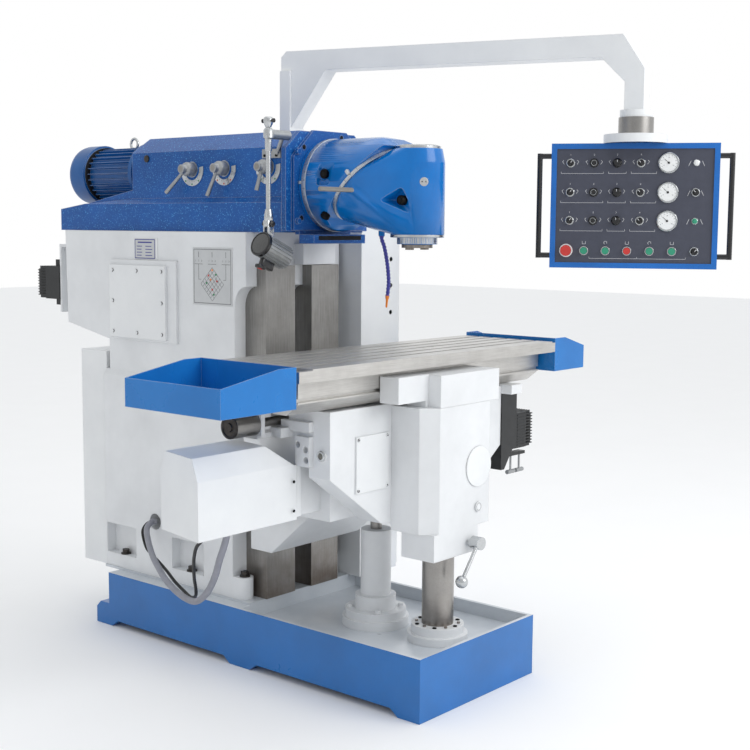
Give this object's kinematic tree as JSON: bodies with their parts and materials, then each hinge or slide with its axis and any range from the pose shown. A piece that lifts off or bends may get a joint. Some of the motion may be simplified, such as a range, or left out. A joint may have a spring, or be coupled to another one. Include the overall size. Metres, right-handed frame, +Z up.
{
  "type": "universal milling machine",
  "caption": "Universal milling machine: sliding ram with a two-way swivelling head over a long T-slot table on a lifting knee, with a swinging control pendant",
  "frame": {"origin": "on the floor in the middle of the base plan", "axes": "X along the table to its right end, Y to the back of the machine, Z up; the spindle points down along -Z"},
  "size_m": [2.4125, 3.1895, 2.766],
  "materials": {
    "blue_enamel": "hammered gloss enamel",
    "bright_blue_enamel": "gloss enamel",
    "grey_enamel": "fine-textured light grey enamel",
    "ground_steel": "ground",
    "plain_steel": "turned",
    "satin_chrome": "satin",
    "cast_aluminium": "as cast",
    "dark_housing": "dark enamel",
    "grey_conduit": "ribbed plastic",
    "black_rubber": "smooth rubber",
    "violet_hose": "jointed plastic hose",
    "panel_black": "moulded",
    "red_plastic": "moulded",
    "green_plastic": "moulded"
  },
  "bodies": {
    "base": {"base_tray": "blue_enamel", "hold_down_bolts": "plain_steel", "column": "grey_enamel", "column_ways": "ground_steel", "side_covers": "grey_enamel", "rear_cabinet": "grey_enamel", "electrical_cabinet": "grey_enamel", "lift_tube": "grey_enamel", "support_column": "ground_steel", "ram_drive_bracket": "grey_enamel", "ram_feed_motor": "dark_housing", "pendant_post": "grey_enamel"},
    "door": {"cabinet_door": "grey_enamel"},
    "ram_slide": {"ram": "blue_enamel", "gear_housing": "blue_enamel", "main_motor": "blue_enamel", "speed_dials": "cast_aluminium", "front_flange": "blue_enamel", "lamp_bracket": "satin_chrome"},
    "ram_feed_screw": {"ram_screw": "plain_steel"},
    "lever_rear": {"speed_lever_rear": "satin_chrome"},
    "lever_middle": {"speed_lever_middle": "satin_chrome"},
    "lever_front": {"speed_lever_front": "satin_chrome"},
    "lamp_strut": {"lamp_arm": "satin_chrome"},
    "lamp": {"lamp_head": "cast_aluminium"},
    "swivel": {"swivel_housing": "bright_blue_enamel", "housing_scale": "cast_aluminium"},
    "head": {"milling_head": "bright_blue_enamel", "head_scale": "cast_aluminium", "head_cap": "cast_aluminium", "spindle_bearings": "plain_steel", "coolant_hose": "violet_hose"},
    "cutter_spindle": {"spindle": "plain_steel"},
    "knee_unit": {"knee": "grey_enamel", "knee_gearbox": "grey_enamel", "gearbox_cover": "grey_enamel", "knee_covers": "grey_enamel", "drive_hood": "grey_enamel", "feed_motor": "dark_housing", "lift_motor": "grey_enamel", "motor_conduit": "grey_conduit", "motor_cable": "black_rubber"},
    "lift_screw": {"z_screw": "plain_steel"},
    "table_screw": {"x_screw": "plain_steel"},
    "table_unit": {"table": "ground_steel", "tray_left": "bright_blue_enamel", "tray_right": "bright_blue_enamel"},
    "front_lever": {"knee_lever": "satin_chrome"},
    "clamp_outer": {"clamp_handle_outer": "satin_chrome"},
    "clamp_inner": {"clamp_handle_inner": "satin_chrome"},
    "pendant": {"pendant_arm": "grey_enamel"},
    "panel": {"control_panel": "blue_enamel", "panel_dials": "panel_black"},
    "stop_button": {"emergency_stop": "red_plastic"},
    "button_1_body": {"button_1": "green_plastic"},
    "button_2_body": {"button_2": "green_plastic"},
    "button_3_body": {"button_3": "red_plastic"},
    "button_4_body": {"button_4": "green_plastic"},
    "button_5_body": {"button_5": "green_plastic"}
  },
  "joints": [
    {"name": "door_hinge", "type": "hinge", "parent": "base", "child": "door", "pos_m": [0.6103, 0.686, 1.1], "axis": [0, 0, 1], "range_deg": [0, 110]},
    {"name": "ram_travel", "type": "slide", "parent": "base", "child": "ram_slide", "axis": [0, -1, 0], "range_m": [-0.1, 0.6]},
    {"name": "ram_screw_turn", "type": "hinge", "parent": "base", "child": "ram_feed_screw", "pos_m": [0, 0.836, 1.79], "axis": [0, 1, 0], "continuous": true},
    {"name": "lever_rear_turn", "type": "hinge", "parent": "ram_slide", "child": "lever_rear", "pos_m": [-0.264, 0.507, 2.173], "axis": [1, 0, 0], "range_deg": [-25, 25]},
    {"name": "lever_middle_turn", "type": "hinge", "parent": "ram_slide", "child": "lever_middle", "pos_m": [-0.264, 0.297, 2.173], "axis": [1, 0, 0], "range_deg": [-25, 25]},
    {"name": "lever_front_turn", "type": "hinge", "parent": "ram_slide", "child": "lever_front", "pos_m": [-0.264, 0.023, 2.173], "axis": [1, 0, 0], "range_deg": [-25, 25]},
    {"name": "lamp_strut_fold", "type": "hinge", "parent": "ram_slide", "child": "lamp_strut", "pos_m": [-0.358, -0.1, 2.3], "axis": [1, 0, 0], "range_deg": [-25, 5]},
    {"name": "lamp_tilt", "type": "hinge", "parent": "lamp_strut", "child": "lamp", "pos_m": [-0.358, -0.1, 1.931], "axis": [0, 1, 0], "range_deg": [-10, 40]},
    {"name": "swivel_turn", "type": "hinge", "parent": "ram_slide", "child": "swivel", "pos_m": [0, -0.157, 2.098], "axis": [0, 1, 0], "range_deg": [-90, 90]},
    {"name": "head_turn", "type": "hinge", "parent": "swivel", "child": "head", "pos_m": [0, -0.382, 2.09], "axis": [0, -0.7071, -0.7071], "range_deg": [-180, 45]},
    {"name": "spindle_turn", "type": "hinge", "parent": "head", "child": "cutter_spindle", "pos_m": [0, -0.606, 2.03], "axis": [0, 0, 1], "continuous": true},
    {"name": "knee_travel", "type": "slide", "parent": "base", "child": "knee_unit", "axis": [0, 0, 1], "range_m": [-0.23, 0.16]},
    {"name": "lift_screw_turn", "type": "hinge", "parent": "knee_unit", "child": "lift_screw", "pos_m": [0, -0.396, 0.67], "axis": [0, 0, 1], "continuous": true},
    {"name": "table_travel", "type": "slide", "parent": "knee_unit", "child": "table_unit", "axis": [1, 0, 0], "range_m": [-0.5, 0.5]},
    {"name": "table_screw_turn", "type": "hinge", "parent": "knee_unit", "child": "table_screw", "pos_m": [-0.127, -0.375, 1.158], "axis": [1, 0, 0], "continuous": true},
    {"name": "front_lever_turn", "type": "hinge", "parent": "knee_unit", "child": "front_lever", "pos_m": [0.091, -0.873, 0.619], "axis": [0, 1, 0], "range_deg": [-8, 60]},
    {"name": "clamp_outer_turn", "type": "hinge", "parent": "knee_unit", "child": "clamp_outer", "pos_m": [0.85, -0.56, 0.82], "axis": [0, 0, 1], "range_deg": [-90, 90]},
    {"name": "clamp_inner_turn", "type": "hinge", "parent": "knee_unit", "child": "clamp_inner", "pos_m": [0.78, -0.56, 0.82], "axis": [0, 0, 1], "range_deg": [-90, 90]},
    {"name": "pendant_swing", "type": "hinge", "parent": "base", "child": "pendant", "pos_m": [0.467, 0.563, 2.11], "axis": [0, 0, 1], "range_deg": [-5, 100]},
    {"name": "panel_turn", "type": "hinge", "parent": "pendant", "child": "panel", "pos_m": [0.96265, -1.06837, 2.36], "axis": [0, 0, 1], "range_deg": [-60, 60]},
    {"name": "stop_press", "type": "slide", "parent": "panel", "child": "stop_button", "axis": [0.8771, 0.4802, 0], "range_m": [0, 0.004], "stiffness_N_per_m": 900},
    {"name": "button_1_press", "type": "slide", "parent": "panel", "child": "button_1_body", "axis": [0.8771, 0.4802, 0], "range_m": [0, 0.004], "stiffness_N_per_m": 600},
    {"name": "button_2_press", "type": "slide", "parent": "panel", "child": "button_2_body", "axis": [0.8771, 0.4802, 0], "range_m": [0, 0.004], "stiffness_N_per_m": 600},
    {"name": "button_3_press", "type": "slide", "parent": "panel", "child": "button_3_body", "axis": [0.8771, 0.4802, 0], "range_m": [0, 0.004], "stiffness_N_per_m": 600},
    {"name": "button_4_press", "type": "slide", "parent": "panel", "child": "button_4_body", "axis": [0.8771, 0.4802, 0], "range_m": [0, 0.004], "stiffness_N_per_m": 600},
    {"name": "button_5_press", "type": "slide", "parent": "panel", "child": "button_5_body", "axis": [0.8771, 0.4802, 0], "range_m": [0, 0.004], "stiffness_N_per_m": 600}
  ],
  "couplings": [
    {"joint": "ram_screw_turn", "follows": "ram_travel", "rad_per_m": 628.32},
    {"joint": "lift_screw_turn", "follows": "knee_travel", "rad_per_m": 1047.2},
    {"joint": "table_screw_turn", "follows": "table_travel", "rad_per_m": -628.32}
  ]
}
